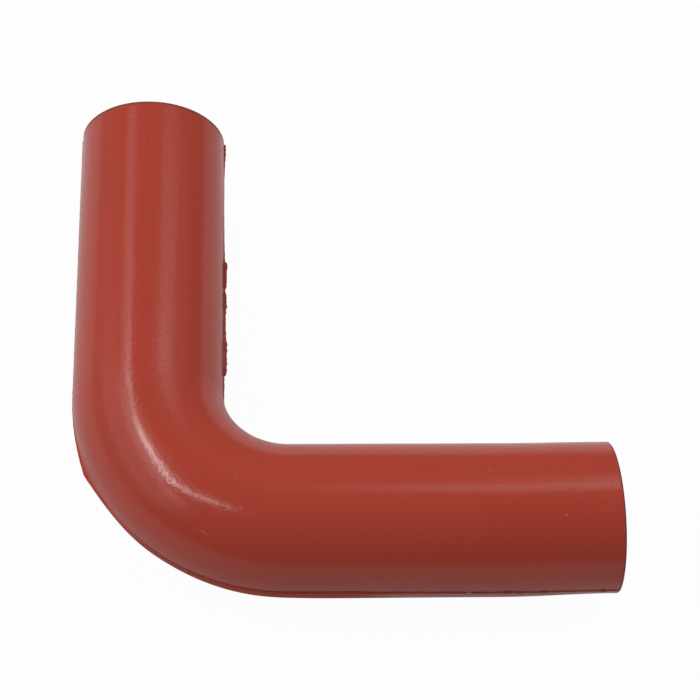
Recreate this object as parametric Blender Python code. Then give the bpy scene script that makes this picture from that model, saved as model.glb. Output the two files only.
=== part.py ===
# Upper radiator hose: one moulded rubber elbow, open at both ends, with the
# mould's parting line and its flash all round the mid-plane.
# Metres, +Z up. The hose lies flat as it comes to rest, so the parting plane
# is level: leg A runs along +Y, leg B leaves the bend along +X. The bend's
# centre is the origin of every sketch, and the finished hose then stands on
# the middle of its underside.

import math

import bmesh
import bpy
from mathutils import Matrix
from mathutils import Vector

# Driving dimensions
BORE_DIAMETER = 0.038  # the pipe neck that each end is pushed over
WALL_THICKNESS = 0.005
INSIDE_BEND_RADIUS = 0.0206  # inner side of the elbow, at the parting plane
BEND_ANGLE = math.radians(90.0)
LEG_A_LENGTH = 0.0975  # on the centreline, from the bend to the cut end
LEG_B_LENGTH = 0.1012

# Both ends are knife cuts, a little out of square: the outer side of the
# elbow is the longer one, and so is the upper side.
CUT_A_SIDE_TILT = math.radians(1.6)
CUT_A_UPPER_TILT = math.radians(0.7)
CUT_B_SIDE_TILT = math.radians(2.8)
CUT_B_UPPER_TILT = math.radians(0.3)

# Flash is the thin web that squeezed out between the mould's halves.
FLASH_THICKNESS = 0.0005
# Fin on the outer side, trimmed with a knife from a fifth of the way round the
# bend. Places count 0 to 1 along leg A from its cut end, 1 to 2 round the bend
# and 2 to 3 along leg B.
OUTER_FIN = (
    (0.0, 0.00025),
    (0.5, 0.0002),
    (1.04, 0.00015),
    (1.09, 0.0003),
    (1.15, 0.0006),
    (1.2, 0.0009),
    (1.24, 0.0013),
    (1.27, 0.0014),
    (1.3, 0.0009),
    (1.34, 0.0005),
    (1.42, 0.0003),
    (1.7, 0.0003),
    (2.0, 0.0004),
    (2.5, 0.0003),
    (3.0, 0.0002),
)
# Fin on the inner side, round the bend and along leg B.
INNER_FIN = (
    (1.0, 0.0004),
    (1.06, 0.0003),
    (1.12, 0.00015),
    (3.0, 0.00012),
)
# Untrimmed flash on leg A's inner side, torn off in stretches. Each tear is
# its distance from the bend and the height that stands there.
TORN_FLASH = (
    (0.0066, 0.0004),
    (0.0071, 0.0011),
    (0.0110, 0.0012),
    (0.0194, 0.0012),
    (0.0206, 0.0009),
    (0.0250, 0.0008),
    (0.0310, 0.0008),
    (0.0320, 0.0011),
    (0.0372, 0.0009),
    (0.0382, 0.0006),
    (0.0394, 0.0006),
    (0.0404, 0.0010),
    (0.0494, 0.0012),
    (0.0500, 0.0005),
    (0.0560, 0.0003),
    (0.0700, 0.00013),
    (0.0830, 0.00015),
    (0.0880, 0.0003),
    (0.0935, 0.0006),
    (0.0975, 0.0006),
)

# How finely round shapes are divided
BEND_STEPS = 28
ROUND_SIDES = 48

# Cutters and blanks run this far past the surfaces that they trim.
TRIM_ALLOWANCE = 0.006

RUBBER_COLOUR = (0.376, 0.048, 0.03, 1.0)
RUBBER_ROUGHNESS = 0.5

# Worked out from the driving dimensions
BORE_RADIUS = BORE_DIAMETER / 2
OUTER_RADIUS = BORE_RADIUS + WALL_THICKNESS
BEND_RADIUS = INSIDE_BEND_RADIUS + OUTER_RADIUS
FIRST_BEND_ANGLE = math.pi
LAST_BEND_ANGLE = FIRST_BEND_ANGLE + BEND_ANGLE

UP = Vector((0.0, 0.0, 1.0))


def clear_scene():
    for scene_object in list(bpy.data.objects):
        bpy.data.objects.remove(scene_object, do_unlink=True)


def new_collection(name):
    collection = bpy.data.collections.new(name)
    bpy.context.scene.collection.children.link(collection)
    return collection


def outward_at(angle):
    # Level direction from the bend's centre to a point of the bend.
    return Vector((math.cos(angle), math.sin(angle), 0.0))


def along_at(angle):
    # Level direction of travel round the bend, from leg A to leg B.
    return Vector((-math.sin(angle), math.cos(angle), 0.0))


def place(position, offset):
    # A point beside the centreline: position counts as in OUTER_FIN, and
    # offset is positive on the elbow's outer side.
    if position < 1.0:
        outward = outward_at(FIRST_BEND_ANGLE)
        backward = -along_at(FIRST_BEND_ANGLE) * LEG_A_LENGTH * (1.0 - position)
        return outward * (BEND_RADIUS + offset) + backward
    if position <= 2.0:
        angle = FIRST_BEND_ANGLE + BEND_ANGLE * (position - 1.0)
        return outward_at(angle) * (BEND_RADIUS + offset)
    outward = outward_at(LAST_BEND_ANGLE)
    forward = along_at(LAST_BEND_ANGLE) * LEG_B_LENGTH * (position - 2.0)
    return outward * (BEND_RADIUS + offset) + forward


def bend_positions():
    return [1.0 + step / BEND_STEPS for step in range(BEND_STEPS + 1)]


def overrun_positions():
    # The two ends of a blank or cutter, past the cut ends of the hose.
    before = -TRIM_ALLOWANCE / LEG_A_LENGTH
    after = 3.0 + TRIM_ALLOWANCE / LEG_B_LENGTH
    return before, after


def mesh_from_curve(curve_object, name, collection):
    # The curve's mesh with its loose caps welded on; the curve goes.
    bpy.context.view_layer.update()
    depsgraph = bpy.context.evaluated_depsgraph_get()
    mesh = bpy.data.meshes.new_from_object(curve_object.evaluated_get(depsgraph))
    mesh.name = name
    shape = bmesh.new()
    shape.from_mesh(mesh)
    bmesh.ops.remove_doubles(shape, verts=shape.verts, dist=1e-7)
    bmesh.ops.recalc_face_normals(shape, faces=shape.faces)
    shape.to_mesh(mesh)
    shape.free()
    mesh_object = bpy.data.objects.new(name, mesh)
    mesh_object.matrix_world = curve_object.matrix_world
    collection.objects.link(mesh_object)
    bpy.data.objects.remove(curve_object, do_unlink=True)
    return mesh_object


def add_poly_spline(curve, points, cyclic):
    spline = curve.splines.new("POLY")
    spline.points.add(len(points) - 1)
    for spline_point, point in zip(spline.points, points):
        spline_point.co = (point.x, point.y, point.z, 1.0)
    spline.use_cyclic_u = cyclic


def swept_rod(name, radius, collection):
    # A round rod along the hose's centreline, past both cut ends.
    before, after = overrun_positions()
    positions = [before] + bend_positions() + [after]
    curve = bpy.data.curves.new(f"{name}_path", "CURVE")
    curve.dimensions = "3D"
    curve.bevel_depth = radius
    curve.bevel_resolution = (ROUND_SIDES - 4) // 2
    curve.use_fill_caps = True
    add_poly_spline(curve, [place(position, 0.0) for position in positions], False)
    curve_object = bpy.data.objects.new(f"{name}_path", curve)
    collection.objects.link(curve_object)
    return mesh_from_curve(curve_object, name, collection)


def height_at(table, key):
    # Straight-line reading between the rows of a (place, height) table.
    if key <= table[0][0]:
        return table[0][1]
    for (key_0, height_0), (key_1, height_1) in zip(table, table[1:]):
        if key <= key_1:
            share = (key - key_0) / (key_1 - key_0)
            return height_0 + share * (height_1 - height_0)
    return table[-1][1]


def outer_edge():
    # The trimmed fin from leg A's end round the outside to leg B's end.
    before, after = overrun_positions()
    row_positions = [row[0] for row in OUTER_FIN]
    positions = sorted(set([before, after] + row_positions + bend_positions()))
    return [
        place(position, OUTER_RADIUS + height_at(OUTER_FIN, position))
        for position in positions
    ]


def inner_edge():
    # Back along the inside: leg B, the bend, then leg A's torn flash.
    before, after = overrun_positions()
    row_positions = [row[0] for row in INNER_FIN]
    positions = sorted(set([after] + row_positions + bend_positions()), reverse=True)
    smooth = [
        place(position, -OUTER_RADIUS - height_at(INNER_FIN, position))
        for position in positions
    ]
    torn = []
    for distance, height in TORN_FLASH:
        position = 1.0 - distance / LEG_A_LENGTH
        if position > before:
            torn.append(place(position, -OUTER_RADIUS - height))
    last_height = TORN_FLASH[-1][1]
    return smooth + torn + [place(before, -OUTER_RADIUS - last_height)]


def flash_web(collection):
    # A thin level plate at the parting plane, as wide as the hose and its
    # flash. The bore is cut out of it later.
    curve = bpy.data.curves.new("flash_outline", "CURVE")
    curve.dimensions = "2D"
    curve.fill_mode = "BOTH"
    curve.extrude = FLASH_THICKNESS / 2
    add_poly_spline(curve, outer_edge() + inner_edge(), True)
    curve_object = bpy.data.objects.new("flash_outline", curve)
    collection.objects.link(curve_object)
    return mesh_from_curve(curve_object, "flash_web", collection)


def end_knife(name, position, along, side_tilt, upper_tilt, collection):
    # A block whose near face is the plane of a cut end. along points out of
    # the hose, and the cut leans back on the outer and the upper side.
    outward = (place(position, 1.0) - place(position, 0.0)).normalized()
    normal = along - outward * math.tan(side_tilt) - UP * math.tan(upper_tilt)
    normal.normalize()
    block_size = 4 * OUTER_RADIUS + TRIM_ALLOWANCE
    bpy.ops.mesh.primitive_cube_add(size=block_size)
    knife = bpy.context.active_object
    knife.name = name
    centre = place(position, 0.0) + normal * block_size / 2
    turn = normal.to_track_quat("Z", "Y").to_matrix().to_4x4()
    knife.matrix_world = Matrix.Translation(centre) @ turn
    for old_collection in list(knife.users_collection):
        old_collection.objects.unlink(knife)
    collection.objects.link(knife)
    return knife


def mark_as_cutter(cutter):
    cutter.hide_render = True
    cutter.display_type = "WIRE"


def add_boolean(target, operation, tool):
    modifier = target.modifiers.new(f"{operation.lower()} {tool.name}", "BOOLEAN")
    modifier.operation = operation
    modifier.solver = "EXACT"
    modifier.object = tool


def rubber_material():
    material = bpy.data.materials.new("red_rubber")
    material.use_nodes = True
    shader = material.node_tree.nodes["Principled BSDF"]
    shader.inputs["Base Color"].default_value = RUBBER_COLOUR
    shader.inputs["Roughness"].default_value = RUBBER_ROUGHNESS
    shader.inputs["Metallic"].default_value = 0.0
    material.diffuse_color = RUBBER_COLOUR
    return material


def make_hose(part_collection, cutter_collection):
    hose = swept_rod("radiator_hose", OUTER_RADIUS, part_collection)
    flash = flash_web(cutter_collection)
    bore = swept_rod("bore_core", BORE_RADIUS, cutter_collection)
    knife_a = end_knife(
        "knife_a",
        0.0,
        -along_at(FIRST_BEND_ANGLE),
        CUT_A_SIDE_TILT,
        CUT_A_UPPER_TILT,
        cutter_collection,
    )
    knife_b = end_knife(
        "knife_b",
        3.0,
        along_at(LAST_BEND_ANGLE),
        CUT_B_SIDE_TILT,
        CUT_B_UPPER_TILT,
        cutter_collection,
    )
    add_boolean(hose, "UNION", flash)
    for cutter in (bore, knife_a, knife_b):
        add_boolean(hose, "DIFFERENCE", cutter)
    tools = (flash, bore, knife_a, knife_b)
    for tool in tools:
        mark_as_cutter(tool)
    hose.data.materials.clear()
    hose.data.materials.append(rubber_material())
    hose.data.shade_smooth()
    hose.data.set_sharp_from_angle(angle=math.radians(30.0))
    return hose, tools


def stand_on_origin(hose, tools, collection):
    # Everything hangs on one empty, which brings the middle of the hose's
    # underside to the world origin.
    depsgraph = bpy.context.evaluated_depsgraph_get()
    mesh = hose.evaluated_get(depsgraph).data
    lows = [min(vertex.co[axis] for vertex in mesh.vertices) for axis in range(3)]
    highs = [max(vertex.co[axis] for vertex in mesh.vertices) for axis in range(3)]
    bottom_centre = Vector(
        ((lows[0] + highs[0]) / 2, (lows[1] + highs[1]) / 2, lows[2])
    )
    empty = bpy.data.objects.new("bend_centre", None)
    collection.objects.link(empty)
    for child in (hose,) + tools:
        child.parent = empty
    empty.location = -bottom_centre


def main():
    clear_scene()
    part_collection = new_collection("upper_radiator_hose")
    cutter_collection = new_collection("cutters")
    hose, tools = make_hose(part_collection, cutter_collection)
    stand_on_origin(hose, tools, part_collection)
    bpy.context.view_layer.update()


main()
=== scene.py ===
import math

import bmesh
import bpy
from mathutils import Matrix, Vector, noise


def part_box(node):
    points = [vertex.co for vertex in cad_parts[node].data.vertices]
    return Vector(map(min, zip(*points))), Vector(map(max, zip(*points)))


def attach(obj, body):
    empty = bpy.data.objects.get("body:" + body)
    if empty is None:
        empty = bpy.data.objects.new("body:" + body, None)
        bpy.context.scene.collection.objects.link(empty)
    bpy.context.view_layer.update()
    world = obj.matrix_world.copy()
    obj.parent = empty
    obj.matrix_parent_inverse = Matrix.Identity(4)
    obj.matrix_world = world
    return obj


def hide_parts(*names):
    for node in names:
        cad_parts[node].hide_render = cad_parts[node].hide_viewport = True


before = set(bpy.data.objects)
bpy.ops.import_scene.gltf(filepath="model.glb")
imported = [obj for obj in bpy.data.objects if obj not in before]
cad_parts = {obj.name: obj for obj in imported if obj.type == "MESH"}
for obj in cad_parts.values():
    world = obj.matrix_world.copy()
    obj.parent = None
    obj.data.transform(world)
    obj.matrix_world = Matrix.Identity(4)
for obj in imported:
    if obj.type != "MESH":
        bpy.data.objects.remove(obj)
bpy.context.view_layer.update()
print("frame loaded")

# one moulding, so every piece here is part of the hose itself
hose = {
    "insideBend": 0.0206,
    "wall": 0.005,
    "legA": 0.0975,
    "legB": 0.1012,
    "cutA": (1.6, 0.7),  # degrees out of square, outer side and upper side
    "cutB": (2.8, 0.3),
    "sides": 120,
    "bendSteps": 60,
    "step": 0.004,
    "boreStep": 0.008,
    "boreBendSteps": 24,
    "edgeBreak": 0.00035,
    "edgeReach": 0.00038,  # what lies closer than this to a cut end is its broken edge
    "rimA": 0.0018,  # width of the band at each end that is coloured darker
    "rimB": 0.0008,
    "boreMatt": 0.6,
    "waviness": 0.00004,  # the moulding is never quite even
    "waveSize": 0.018,
    "weld": 0.0000001,
    "sharpAbove": 38,  # degrees between two faces
}
hoseLow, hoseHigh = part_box("radiator_hose")
outerRadius = (hoseHigh.z - hoseLow.z) / 2
boreRadius = outerRadius - hose["wall"]
bendRadius = hose["insideBend"] + outerRadius

# web of rubber at the parting line, heights in metres
flash = {
    "halfThick": 0.00025,
    "stripReach": 0.000375,  # the narrow faces that it rises from lie this close to the mid-plane
    "tipShare": 0.6,
    "outer": (  # place along the hose: 0 to 1 leg A, 1 to 2 bend, 2 to 3 leg B
        (0.00, 0.00025),
        (0.50, 0.00020),
        (1.04, 0.00015),
        (1.09, 0.00030),
        (1.15, 0.00060),
        (1.20, 0.00090),
        (1.24, 0.00130),
        (1.265, 0.00160),
        (1.30, 0.00110),
        (1.34, 0.00070),
        (1.42, 0.00030),
        (1.70, 0.00030),
        (2.00, 0.00040),
        (2.50, 0.00030),
        (3.00, 0.00020),
    ),
    "inner": ((1.00, 0.00040), (1.06, 0.00030), (1.12, 0.00015), (3.00, 0.00012)),
    "torn": (  # distance from the bend on leg A's inner side
        (0.0066, 0.00040),
        (0.0071, 0.00110),
        (0.0110, 0.00120),
        (0.0194, 0.00120),
        (0.0206, 0.00090),
        (0.0250, 0.00080),
        (0.0310, 0.00080),
        (0.0320, 0.00110),
        (0.0372, 0.00090),
        (0.0382, 0.00060),
        (0.0394, 0.00060),
        (0.0404, 0.00100),
        (0.0494, 0.00120),
        (0.0500, 0.00050),
        (0.0560, 0.00030),
        (0.0700, 0.00013),
        (0.0830, 0.00015),
        (0.0880, 0.00030),
        (0.0935, 0.00060),
        (0.0975, 0.00060),
    ),
    "lumps": (  # place, width and height of loose crumbs of flash on the outer line
        (2.539, 0.0008, -0.0003),
        (2.655, 0.0012, 0.0003),
        (2.690, 0.0010, 0.0002),
        (2.768, 0.0008, 0.0003),
        (2.947, 0.0010, 0.0003),
    ),
    "cuts": 11,  # between one ring of the hose and the next
    "ragged": 0.30,  # share of its height that the torn edge wanders
    "raggedSize": 0.0011,
    "wavy": 0.00006,  # what the other edges wander
    "curl": 0.25,
    "curlSize": 0.004,
    "reach": 0.001,  # the line's own points lie this close to the mid-plane
    "proud": 0.98,  # and further out than this share of the radius
    "least": 0.0001,
    "wander": 0.0003,  # the line itself runs a little up and down
    "wanderSize": 0.014,
    "drop": 0.0010,  # and sinks by this much on leg B
    "dropPlaces": (2.10, 2.50),
}


def heightAt(table, place):
    if place <= table[0][0]:
        return table[0][1]
    for (place0, height0), (place1, height1) in zip(table, table[1:]):
        if place <= place1:
            return height0 + (height1 - height0) * (place - place0) / (place1 - place0)
    return table[-1][1]


bendCentre = Vector(
    (
        hoseLow.x + bendRadius + outerRadius + heightAt(flash["outer"], 0),
        hoseLow.y + bendRadius + outerRadius + heightAt(flash["outer"], 2),
        hoseLow.z + outerRadius,
    )
)


def smooth(value, start, stop):
    # 0 before the start and 1 after the stop, which may lie the other way round
    share = min(max((value - start) / (stop - start), 0), 1)
    return share * share * (3 - 2 * share)


def placeOf(point):
    # 0 to 1 along leg A, 1 to 2 round the bend, 2 to 3 along leg B
    x, y = point.x - bendCentre.x, point.y - bendCentre.y
    if y >= 0 and x < 0:
        return 1 - y / hose["legA"]
    if x >= 0:
        return 2 + x / hose["legB"]
    return 1 + math.atan2(-y, -x) / (math.pi / 2)


def awayFromBend(point):
    # level and square to the centreline, pointing to the outer side of the elbow
    place = placeOf(point)
    if place < 1:
        return Vector((-1, 0, 0))
    if place > 2:
        return Vector((0, -1, 0))
    return Vector((point.x - bendCentre.x, point.y - bendCentre.y, 0)).normalized()


def besideCentreline(point):
    # how far a point lies to the outer side of the centreline
    return (point - bendCentre).dot(awayFromBend(point)) - bendRadius


def newRing(bm, radius):
    # ring across leg A's cut end, with a pair of points close to either side of the parting line
    made = bmesh.ops.create_circle(bm, segments=hose["sides"], radius=radius)
    halfStep = math.pi / hose["sides"]
    nearLine = radius * halfStep * 1.2  # further than the first pair and short of the next
    bmesh.ops.rotate(
        bm, verts=made["verts"], cent=(0, 0, 0), matrix=Matrix.Rotation(halfStep, 3, "Z")
    )
    for vert in made["verts"]:
        if abs(vert.co.y) < nearLine:
            side = math.copysign(1, vert.co.x)
            vert.co.y = math.copysign(flash["halfThick"], vert.co.y)
            vert.co.x = side * math.sqrt(radius**2 - vert.co.y**2)
    bmesh.ops.rotate(
        bm, verts=made["verts"], cent=(0, 0, 0), matrix=Matrix.Rotation(math.pi / 2, 3, "X")
    )
    start = bendCentre + Vector((-bendRadius, hose["legA"], 0))
    bmesh.ops.translate(bm, verts=made["verts"], vec=start)
    return list({edge for vert in made["verts"] for edge in vert.link_edges})


def ringCentre(edges):
    verts = {vert for edge in edges for vert in edge.verts}
    return sum((vert.co for vert in verts), Vector()) / len(verts)


def stretch(bm, edges, travel, steps, growth=0.0, radius=1.0):
    # carries a ring straight on, in equal steps, and may widen it
    made = bmesh.ops.spin(
        bm,
        geom=edges,
        cent=(0, 0, 0),
        axis=(0, 0, 1),
        dvec=travel / steps,
        angle=0,
        steps=steps,
        use_merge=False,
    )
    last = [item for item in made["geom_last"] if isinstance(item, bmesh.types.BMEdge)]
    if growth:
        verts = list({vert for edge in last for vert in edge.verts})
        centre = ringCentre(last)
        size = 1 + growth / radius
        bmesh.ops.scale(
            bm, verts=verts, vec=(size, size, size), space=Matrix.Translation(-centre)
        )
    return last


def sweep(bm, radius, edgeBreak, step, bendSteps):
    # leg A from its cut end, the bend, then leg B; returns the two end rings
    down, right = Vector((0, -1, 0)), Vector((1, 0, 0))
    nib = abs(edgeBreak)
    first = newRing(bm, radius - edgeBreak)
    ring = stretch(bm, first, down * nib, 1, edgeBreak, radius - edgeBreak)
    ring = stretch(bm, ring, down * (hose["rimA"] - nib), 1)
    ring = stretch(bm, ring, down * (hose["legA"] - hose["rimA"]), round(hose["legA"] / step))
    made = bmesh.ops.spin(
        bm,
        geom=ring,
        cent=bendCentre,
        axis=(0, 0, 1),
        angle=math.pi / 2,
        steps=bendSteps,
        use_merge=False,
    )
    ring = [item for item in made["geom_last"] if isinstance(item, bmesh.types.BMEdge)]
    ring = stretch(bm, ring, right * (hose["legB"] - hose["rimB"]), round(hose["legB"] / step))
    ring = stretch(bm, ring, right * (hose["rimB"] - nib), 1)
    last = stretch(bm, ring, right * nib, 1, -edgeBreak, radius)
    return first, last


def flashHeight(point):
    place = placeOf(point)
    wander = noise.noise(point / flash["raggedSize"])
    if besideCentreline(point) < 0:
        if place < 1:
            torn = heightAt(flash["torn"], (1 - place) * hose["legA"])
            return torn * (1 + flash["ragged"] * wander)
        return heightAt(flash["inner"], place) + flash["wavy"] * wander
    height = heightAt(flash["outer"], place) + flash["wavy"] * wander
    for middle, width, rise in flash["lumps"]:
        off = (place - middle) * hose["legB"] / width
        height += rise * math.exp(-2 * off * off)
    return height


def partingFaces(bm):
    # the narrow faces along the parting line, short of the cut ends
    return [
        face
        for face in bm.faces
        if all(abs(vert.co.z - bendCentre.z) < flash["stripReach"] for vert in face.verts)
        and all(runLength(vert.co) > hose["edgeBreak"] / 2 for vert in face.verts)
    ]


def raiseFlash(bm):
    # the faces along the parting line are cut fine and stand up as a fin
    lengthwise = {
        edge
        for face in partingFaces(bm)
        for edge in face.edges
        if abs(edge.verts[0].co.z - edge.verts[1].co.z) < flash["halfThick"]
    }
    bmesh.ops.subdivide_edges(bm, edges=list(lengthwise), cuts=flash["cuts"], use_grid_fill=True)
    strip = partingFaces(bm)
    made = bmesh.ops.extrude_face_region(bm, geom=strip)
    tips = [item for item in made["geom"] if isinstance(item, bmesh.types.BMVert)]
    bmesh.ops.delete(bm, geom=strip, context="FACES_ONLY")
    for vert in tips:
        beside = besideCentreline(vert.co)
        level = Vector((vert.co.x, vert.co.y, bendCentre.z))
        height = flashHeight(level)
        rise = outerRadius + height - abs(beside)
        if vert.co.z > bendCentre.z or not trimmedPlace(vert.co):
            vert.co.z = bendCentre.z + (vert.co.z - bendCentre.z) * flash["tipShare"]
        vert.co.z += height * flash["curl"] * noise.noise(level / flash["curlSize"])
        vert.co += awayFromBend(vert.co) * math.copysign(rise, beside)


def runLength(point):
    # distance to the nearer cut end; a metre stands for the end of the other leg
    return min(
        bendCentre.y + hose["legA"] - point.y if point.x < bendCentre.x else 1,
        bendCentre.x + hose["legB"] - point.x if point.y < bendCentre.y else 1,
    )


def onBrokenEdge(point):
    return runLength(point) < hose["edgeReach"]


def leanEnds(bm):
    # the knife cuts are a little out of square, more so towards each end
    for vert in bm.verts:
        place = placeOf(vert.co)
        outer, upper = besideCentreline(vert.co), vert.co.z - bendCentre.z
        if place < 1:
            lean = outer * math.tan(math.radians(hose["cutA"][0]))
            lean += upper * math.tan(math.radians(hose["cutA"][1]))
            vert.co.y += lean * (1 - place)
        elif place > 2:
            lean = outer * math.tan(math.radians(hose["cutB"][0]))
            lean += upper * math.tan(math.radians(hose["cutB"][1]))
            vert.co.x += lean * (place - 2)
            vert.co.y += wear["bentBack"] * squeezedShare(vert.co)


def awayFromCentreline(point):
    across = awayFromBend(point) * besideCentreline(point)
    return (across + Vector((0, 0, point.z - bendCentre.z))).normalized()


# what trimming and handling did to the outside of the moulding
wear = {
    "trimmed": (1.26, 1.29, 2.12, 2.40),  # places between which the lower side was ground matt
    "trimmedBelow": (-0.2, 0.2, 34.0, 44.0),  # degrees below the parting line
    "trimmedDepth": 0.0003,
    "deepest": (1.50, 1.66, 1.94, 2.10),
    "proudBelow": (0.0, 16.0),  # the lower half of the moulding stands a little proud here
    "ridge": (1.04, 1.12, 1.34, 1.44),  # the flash stands on a thick root here
    "ridgeShare": 0.6,
    "ridgeAbove": 8.0,
    "squeezedLength": 0.035,  # leg B's end is squeezed on its lower outer side and bent back
    "squeezedDepth": 0.0008,
    "squeezedBelow": (0.0, 30.0, 60.0, 110.0),
    "bentBack": 0.0004,
}


def degreesBelow(point):
    # from the outer parting line down and round towards the underside
    return math.degrees(math.atan2(bendCentre.z - point.z, besideCentreline(point)))


def inWindow(value, window):
    return smooth(value, window[0], window[1]) * smooth(value, window[3], window[2])


def trimmedPlace(point):
    return inWindow(placeOf(point), wear["trimmed"]) if besideCentreline(point) > 0 else 0


def trimmedShare(point):
    return trimmedPlace(point) * inWindow(degreesBelow(point), wear["trimmedBelow"])


def squeezedShare(point):
    return smooth((3 - placeOf(point)) * hose["legB"], wear["squeezedLength"], 0)


def wearDown(bm):
    for vert in bm.verts:
        place, below = placeOf(vert.co), degreesBelow(vert.co)
        lineHeight = heightAt(flash["outer"], place)
        squeezed = squeezedShare(vert.co) * inWindow(below, wear["squeezedBelow"])
        trimmed = trimmedShare(vert.co) * inWindow(place, wear["deepest"])
        rise = hose["waviness"] * noise.noise(vert.co / hose["waveSize"])
        rise -= wear["trimmedDepth"] * trimmed + wear["squeezedDepth"] * squeezed
        if below > 0:
            proud = lineHeight * trimmedPlace(vert.co)
            rise += proud * (1 - smooth(below, *wear["proudBelow"]))
        elif besideCentreline(vert.co) > 0:
            root = lineHeight * inWindow(place, wear["ridge"])
            rise += root * wear["ridgeShare"] * (1 - smooth(-below, 0, wear["ridgeAbove"]))
        vert.co += rise * awayFromCentreline(vert.co)


# painted shade along the outer parting line and at the root of the torn flash, and a darker band
# round the cut rims
paintedShadeAndDarkRims = {
    "line": (1.38, 1.62, 2.98, 3.00),  # places between which the line gets painted shade
    "lineShare": 0.45,
    "lineShareAtEnd": 0.5,
    "changes": (2.00, 2.50),  # places between which the one share turns into the other
    "lowerSide": (1.90, 2.30),  # the lower side gets no painted shade as far as it was trimmed
    "patchy": 0.5,
    "patchSize": 0.007,
    "tornShare": 0.4,
    "tornHeights": (0.0002, 0.0006),  # from where the flash is torn to where it gets the full painted shade
    "rimShare": 0.9,
}


def onLine(point, side):
    # the parting line's own points, on the outer side (1) or the inner side (-1) of the elbow
    proud = besideCentreline(point) * side > outerRadius * flash["proud"]
    return proud and abs(point.z - bendCentre.z) < flash["reach"]


def onFlash(point):
    # the flash's torn edge, which never touched the mould and stayed matt
    off = abs(besideCentreline(point)) - outerRadius
    return abs(point.z - bendCentre.z) < flash["reach"] and off > flash["least"]


# painted shade along the outer parting line and at the root of the torn flash; a darker colour on
# the cut rims
def paintedShadeAndRimShare(point):
    if onBrokenEdge(point):
        return paintedShadeAndDarkRims["rimShare"]
    place = placeOf(point)
    if onLine(point, 1):
        share = paintedShadeAndDarkRims["lineShare"]
        share += (paintedShadeAndDarkRims["lineShareAtEnd"] - share) * smooth(place, *paintedShadeAndDarkRims["changes"])
        share *= 1 + paintedShadeAndDarkRims["patchy"] * noise.noise(point / paintedShadeAndDarkRims["patchSize"])
        if point.z < bendCentre.z:
            share *= smooth(place, *paintedShadeAndDarkRims["lowerSide"])
        return share * inWindow(place, paintedShadeAndDarkRims["line"])
    if onLine(point, -1) and place < 1:
        torn = heightAt(flash["torn"], (1 - place) * hose["legA"])
        return paintedShadeAndDarkRims["tornShare"] * smooth(torn, *paintedShadeAndDarkRims["tornHeights"])
    return 0


def wanderLine(bm):
    for vert in bm.verts:
        if onLine(vert.co, 1):
            level = Vector((vert.co.x, vert.co.y, bendCentre.z))
            vert.co.z += flash["wander"] * noise.noise(level / flash["wanderSize"])
            vert.co.z -= flash["drop"] * smooth(placeOf(vert.co), *flash["dropPlaces"])


# flakes and scuffs on the skin: place along the hose, degrees below the parting line,
# length, width, and turn from the hose's own direction in degrees
flakes = {
    "thick": 0.00012,
    "dustShare": 0.5,
    "spots": (
        (0.114, -104.2, 0.00050, 0.00040, 0),
        (0.148, -90.9, 0.00050, 0.00040, 20),
        (0.559, -109.9, 0.00070, 0.00055, 30),
        (0.900, -109.6, 0.00065, 0.00055, 0),
        (1.753, -92.5, 0.00050, 0.00040, 0),
        (2.041, -110.1, 0.00050, 0.00040, 45),
        (2.604, -104.3, 0.00070, 0.00060, 0),
        (2.726, -34.7, 0.00055, 0.00050, 0),
        (2.822, -68.5, 0.00090, 0.00070, 10),
        (2.903, -113.1, 0.00050, 0.00040, 0),
    ),
    "scuffs": (
        (0.300, -126.0, 0.0030, 0.00014, 38),
        (0.292, -138.0, 0.0016, 0.00016, -60),
        (1.715, -45.2, 0.0024, 0.00040, -5),
        (1.729, -44.2, 0.0018, 0.00030, -8),
    ),
}


def skinFrame(place, below):
    # a point on the outside of the hose, the way along the hose there, and the way out of it
    turn = (min(max(place, 1), 2) - 1) * math.pi / 2
    outwards = Vector((-math.cos(turn), -math.sin(turn), 0))
    along = Vector((math.sin(turn), -math.cos(turn), 0))
    straight = min(place - 1, 0) * hose["legA"] + max(place - 2, 0) * hose["legB"]
    drop = math.radians(below)
    normal = outwards * math.cos(drop) - Vector((0, 0, math.sin(drop)))
    centre = bendCentre + outwards * bendRadius + along * straight
    return centre + normal * outerRadius, along, normal


def addFlakes(bm, dusty, matt):
    for place, below, length, width, turn in flakes["spots"] + flakes["scuffs"]:
        point, along, normal = skinFrame(place, below)
        along = Matrix.Rotation(math.radians(turn), 3, normal) @ along
        axes = Matrix((along * length, normal.cross(along) * width, normal * flakes["thick"]))
        made = bmesh.ops.create_icosphere(
            bm,
            subdivisions=2,
            radius=0.5,
            matrix=Matrix.Translation(point) @ axes.transposed().to_4x4(),
        )
        for vert in made["verts"]:
            vert[dusty] = flakes["dustShare"]
            vert[matt] = 1


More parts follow.
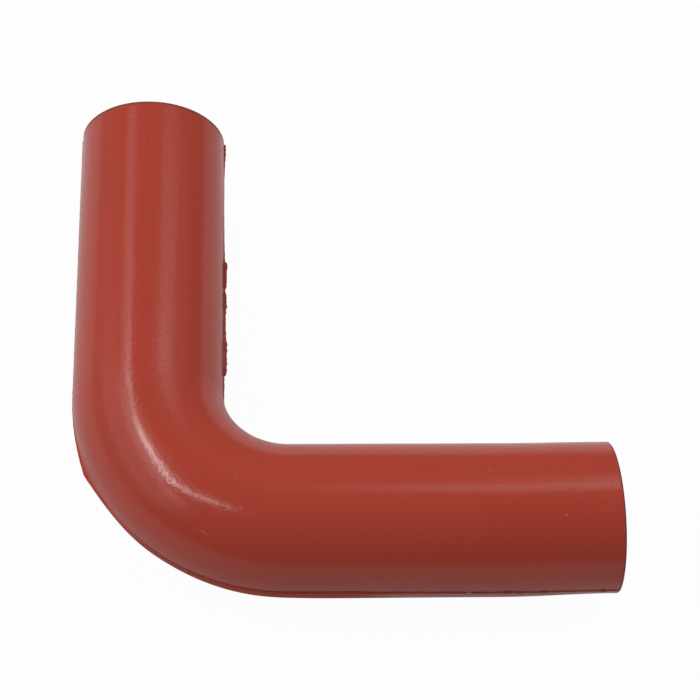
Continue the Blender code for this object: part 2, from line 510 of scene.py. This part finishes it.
def makeHose():
    bm = bmesh.new()
    matt = bm.verts.layers.float.new("trimmed")
    dusty = bm.verts.layers.float.new("dusty")
    paintedShadeAndRimLayer = bm.verts.layers.float.new("paintedShadeAndDarkRims")
    outerEnds = sweep(bm, outerRadius, hose["edgeBreak"], hose["step"], hose["bendSteps"])
    wearDown(bm)
    raiseFlash(bm)
    for vert in bm.verts:
        raw = onFlash(vert.co) or onBrokenEdge(vert.co)
        vert[matt] = 1 if raw else trimmedShare(vert.co)
        # painted shade along the line and the torn flash, and darker cut rims
        vert[paintedShadeAndRimLayer] = paintedShadeAndRimShare(vert.co)
    wanderLine(bm)
    outside = set(bm.verts)
    boreEnds = sweep(bm, boreRadius, -hose["edgeBreak"], hose["boreStep"], hose["boreBendSteps"])
    for vert in bm.verts:
        if vert not in outside:
            vert[matt] = hose["boreMatt"]
    for outerRing, boreRing in zip(outerEnds, boreEnds):
        # the cut face of the wall; bridging these two rings would twist over the bore
        bmesh.ops.triangle_fill(bm, edges=outerRing + boreRing, use_beauty=True)
        for edge in outerRing + boreRing:
            edge.verts[0][matt] = edge.verts[1][matt] = 1
    addFlakes(bm, dusty, matt)
    leanEnds(bm)
    bmesh.ops.remove_doubles(bm, verts=bm.verts, dist=hose["weld"])
    bmesh.ops.recalc_face_normals(bm, faces=bm.faces)
    return finishMesh(bm, "radiatorHose")


def finishMesh(bm, name):
    mesh = bpy.data.meshes.new(name)
    bm.to_mesh(mesh)
    bm.free()
    mesh.shade_smooth()
    mesh.set_sharp_from_angle(angle=math.radians(hose["sharpAbove"]))
    piece = bpy.data.objects.new(name, mesh)
    bpy.context.scene.collection.objects.link(piece)
    return piece


rubber = {
    "colour": (0.400, 0.0466, 0.0262),
    "darker": (0.370, 0.0430, 0.0242),
    "roughness": 0.18,
    "specular": 0.4,
    "trimmedColour": (0.45, 0.066, 0.040),
    "dustColour": (0.50, 0.13, 0.095),
    # dark colour for the painted shade along the line and the torn flash, and for the darker cut
    # rims
    "paintedShadeAndRimColour": (0.155, 0.034, 0.024),
    "trimmedRoughness": 0.7,
    "trimmedSpecular": 0.15,
    "cloud": (0.0286, 6, 0.6),  # size of the noise, its detail and its roughness
    "grain": (0.0015, 1, 1),
    "grainDepth": 0.00005,
}


def nodeOf(tree, kind, **settings):
    node = tree.nodes.new(kind)
    for key, value in settings.items():
        setattr(node, key, value)
    return node


def addNoise(tree, where, size, detail, roughness):
    texture = nodeOf(tree, "ShaderNodeTexNoise")
    texture.inputs["Scale"].default_value = 1 / size
    texture.inputs["Detail"].default_value = detail
    texture.inputs["Roughness"].default_value = roughness
    tree.links.new(where.outputs["Object"], texture.inputs["Vector"])
    return texture.outputs["Fac"]


def layOver(tree, below, attribute, colour):
    # one more colour over what is there, where the hose's own attribute says
    share = nodeOf(tree, "ShaderNodeAttribute", attribute_name=attribute)
    layer = nodeOf(tree, "ShaderNodeMix", data_type="RGBA")
    tree.links.new(share.outputs["Fac"], layer.inputs["Factor"])
    tree.links.new(below, layer.inputs["A"])
    layer.inputs["B"].default_value = (*colour, 1)
    return layer.outputs["Result"]


def makeRubber():
    material = bpy.data.materials.new("redRubber")
    material.use_nodes = True
    tree = material.node_tree
    links = tree.links
    shader = tree.nodes["Principled BSDF"]
    where = nodeOf(tree, "ShaderNodeTexCoord")
    tint = nodeOf(tree, "ShaderNodeMix", data_type="RGBA")
    tint.inputs["A"].default_value = (*rubber["darker"], 1)
    tint.inputs["B"].default_value = (*rubber["colour"], 1)
    links.new(addNoise(tree, where, *rubber["cloud"]), tint.inputs["Factor"])
    colour = layOver(tree, tint.outputs["Result"], "trimmed", rubber["trimmedColour"])
    colour = layOver(tree, colour, "dusty", rubber["dustColour"])
    # lays the painted shade of the line and the torn flash, and the darker cut rims, over the
    # colour
    colour = layOver(tree, colour, "paintedShadeAndDarkRims", rubber["paintedShadeAndRimColour"])
    links.new(colour, shader.inputs["Base Color"])
    trimmed = nodeOf(tree, "ShaderNodeAttribute", attribute_name="trimmed")
    for socket, plain, matt in (
        ("Roughness", rubber["roughness"], rubber["trimmedRoughness"]),
        ("Specular IOR Level", rubber["specular"], rubber["trimmedSpecular"]),
    ):
        value = nodeOf(tree, "ShaderNodeMapRange")
        value.inputs["To Min"].default_value = plain
        value.inputs["To Max"].default_value = matt
        links.new(trimmed.outputs["Fac"], value.inputs["Value"])
        links.new(value.outputs["Result"], shader.inputs[socket])

    bump = nodeOf(tree, "ShaderNodeBump")
    bump.inputs["Distance"].default_value = rubber["grainDepth"]
    bump.inputs["Strength"].default_value = 1
    links.new(addNoise(tree, where, *rubber["grain"]), bump.inputs["Height"])
    links.new(bump.outputs["Normal"], shader.inputs["Normal"])
    return material


floor = {
    "halfSize": 30.0,
    "gap": 0.0001,  # below the hose
    "whiteness": 0.6,
    "seen": 0.97,  # how far it shows as plain white; the rest keeps the hose's shadow
    "mirrored": 0.145,  # how bright the rubber's gloss shows it
}


def makeFloor():
    bm = bmesh.new()
    bmesh.ops.create_grid(bm, x_segments=1, y_segments=1, size=floor["halfSize"])
    bmesh.ops.translate(bm, verts=bm.verts, vec=(0, 0, hoseLow.z - floor["gap"]))
    piece = finishMesh(bm, "paleFloor")
    material = bpy.data.materials.new("paleFloor")
    material.use_nodes = True
    tree = material.node_tree
    tree.nodes.remove(tree.nodes["Principled BSDF"])
    matt = nodeOf(tree, "ShaderNodeBsdfDiffuse")
    matt.inputs["Color"].default_value = (floor["whiteness"],) * 3 + (1,)
    glow = nodeOf(tree, "ShaderNodeEmission")
    rays = nodeOf(tree, "ShaderNodeLightPath")
    clear = nodeOf(tree, "ShaderNodeMath", operation="MAXIMUM")
    tree.links.new(rays.outputs["Is Glossy Ray"], clear.inputs[0])
    tree.links.new(rays.outputs["Is Transmission Ray"], clear.inputs[1])
    mirrored = nodeOf(tree, "ShaderNodeMath", operation="MULTIPLY")
    tree.links.new(clear.outputs[0], mirrored.inputs[0])
    mirrored.inputs[1].default_value = floor["mirrored"]
    share = nodeOf(tree, "ShaderNodeMath", operation="MULTIPLY_ADD")
    tree.links.new(rays.outputs["Is Camera Ray"], share.inputs[0])
    share.inputs[1].default_value = floor["seen"]
    tree.links.new(mirrored.outputs[0], share.inputs[2])
    blend = nodeOf(tree, "ShaderNodeMixShader")
    tree.links.new(share.outputs[0], blend.inputs["Fac"])
    tree.links.new(matt.outputs["BSDF"], blend.inputs[1])
    tree.links.new(glow.outputs["Emission"], blend.inputs[2])
    tree.links.new(blend.outputs["Shader"], tree.nodes["Material Output"].inputs["Surface"])
    piece.data.materials.append(material)


# every softbox faces the hose from one distance: x and y of its direction, then its width, its
# length, its turn about its own axis in degrees and the brightness of its lit face
studio = {"distance": 1.2, "world": 0.19}
lamps = {
    "tubeNear": (-0.555, -0.01, 0.05, 0.56, 5, 28),
    "tubeGlow": (-0.385, 0.20, 0.10, 0.20, 0, 0.7),
    "tubeFar": (-0.48, 0.345, 0.10, 0.28, 12, 5.6),
    "tubeTail": (-0.40, -0.255, 0.36, 0.05, 12, 12),
    "bandLeft": (-0.50, 0.50, 0.24, 0.34, 0, 1.05),
    "leftBox": (-0.68, -0.05, 0.15, 1.10, 4, 1.7),
    "leftWall": (-0.84, -0.05, 0.50, 1.40, 0, 0.6),
    "leftBack": (-0.74, 0.52, 0.34, 0.36, 0, 0.06),
    "bandRight": (0.38, 0.50, 0.46, 0.34, 0, 0.85),
    "bandFar": (0.68, 0.47, 0.34, 0.40, 0, 0.22),
    "ceiling": (0.27, 0.365, 0.50, 0.25, -8, 1.3),
    "leftFloor": (-0.97, 0.10, 0.50, 1.60, 0, 0.11),
    "rightBox": (0.60, 0.00, 0.60, 0.72, 0, 2.2),
}
# wide panels that light the rubber and don't show in its gloss
panels = {
    "behind": (0.0, 0.70, 1.2, 1.2, 0, 0.83),
    "leftLow": (-0.93, 0.05, 0.6, 1.4, 0, 1.15),
    "rightLow": (0.93, 0.05, 0.6, 1.4, 0, 0.98),
}


def makeLamp(name, x, y, width, length, turn, brightness):
    light = bpy.data.lights.new(name, "AREA")
    light.shape = "RECTANGLE"
    light.size = width
    light.size_y = length
    light.energy = brightness * math.pi * width * length
    lamp = bpy.data.objects.new(name, light)
    bpy.context.scene.collection.objects.link(lamp)
    away = Vector((x, y, math.sqrt(1 - x * x - y * y)))
    along = (Vector((0, 1, 0)) - away * away.y).normalized()
    facing = Matrix((along.cross(away), along, away)).transposed()
    lamp.location = away * studio["distance"]
    lamp.rotation_euler = (facing @ Matrix.Rotation(-math.radians(turn), 3, "Z")).to_euler()
    return lamp


def makeLamps():
    for name, settings in lamps.items():
        makeLamp(name, *settings)
    for name, settings in panels.items():
        makeLamp(name, *settings).visible_glossy = False
    world = bpy.data.worlds.new("studio")
    world.use_nodes = True
    world.node_tree.nodes["Background"].inputs["Color"].default_value = (1, 1, 1, 1)
    world.node_tree.nodes["Background"].inputs["Strength"].default_value = studio["world"]
    bpy.context.scene.world = world


camera = {
    "fromBend": (-0.0131, -0.3251, 0.6174),
    "right": (0.99886, -0.02454, 0.04091),
    "forward": (0.04768, 0.48330, -0.87416),
    "focalPixels": 2169.8,  # in a picture 700 pixels wide
    "pictureWidth": 700,
    "sensor": 36.0,
    "clip": (0.01, 100.0),
}


def makeCamera():
    data = bpy.data.cameras.new("photoCamera")
    data.sensor_width = camera["sensor"]
    data.lens = camera["focalPixels"] / camera["pictureWidth"] * camera["sensor"]
    data.clip_start, data.clip_end = camera["clip"]
    view = bpy.data.objects.new("photoCamera", data)
    bpy.context.scene.collection.objects.link(view)
    right = Vector(camera["right"]).normalized()
    back = -Vector(camera["forward"]).normalized()
    up = back.cross(right)
    turn = Matrix((right, up, back)).transposed().to_4x4()
    view.matrix_world = Matrix.Translation(bendCentre + Vector(camera["fromBend"])) @ turn
    bpy.context.scene.camera = view


def dressHose():
    piece = makeHose()
    piece.data.materials.append(makeRubber())
    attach(piece, "root")
    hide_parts("radiator_hose")
    print("hose made:", len(piece.data.polygons), "faces")


dressHose()
makeFloor()
makeLamps()
makeCamera()
bpy.context.scene.view_settings.view_transform = "Standard"
print("studio made")
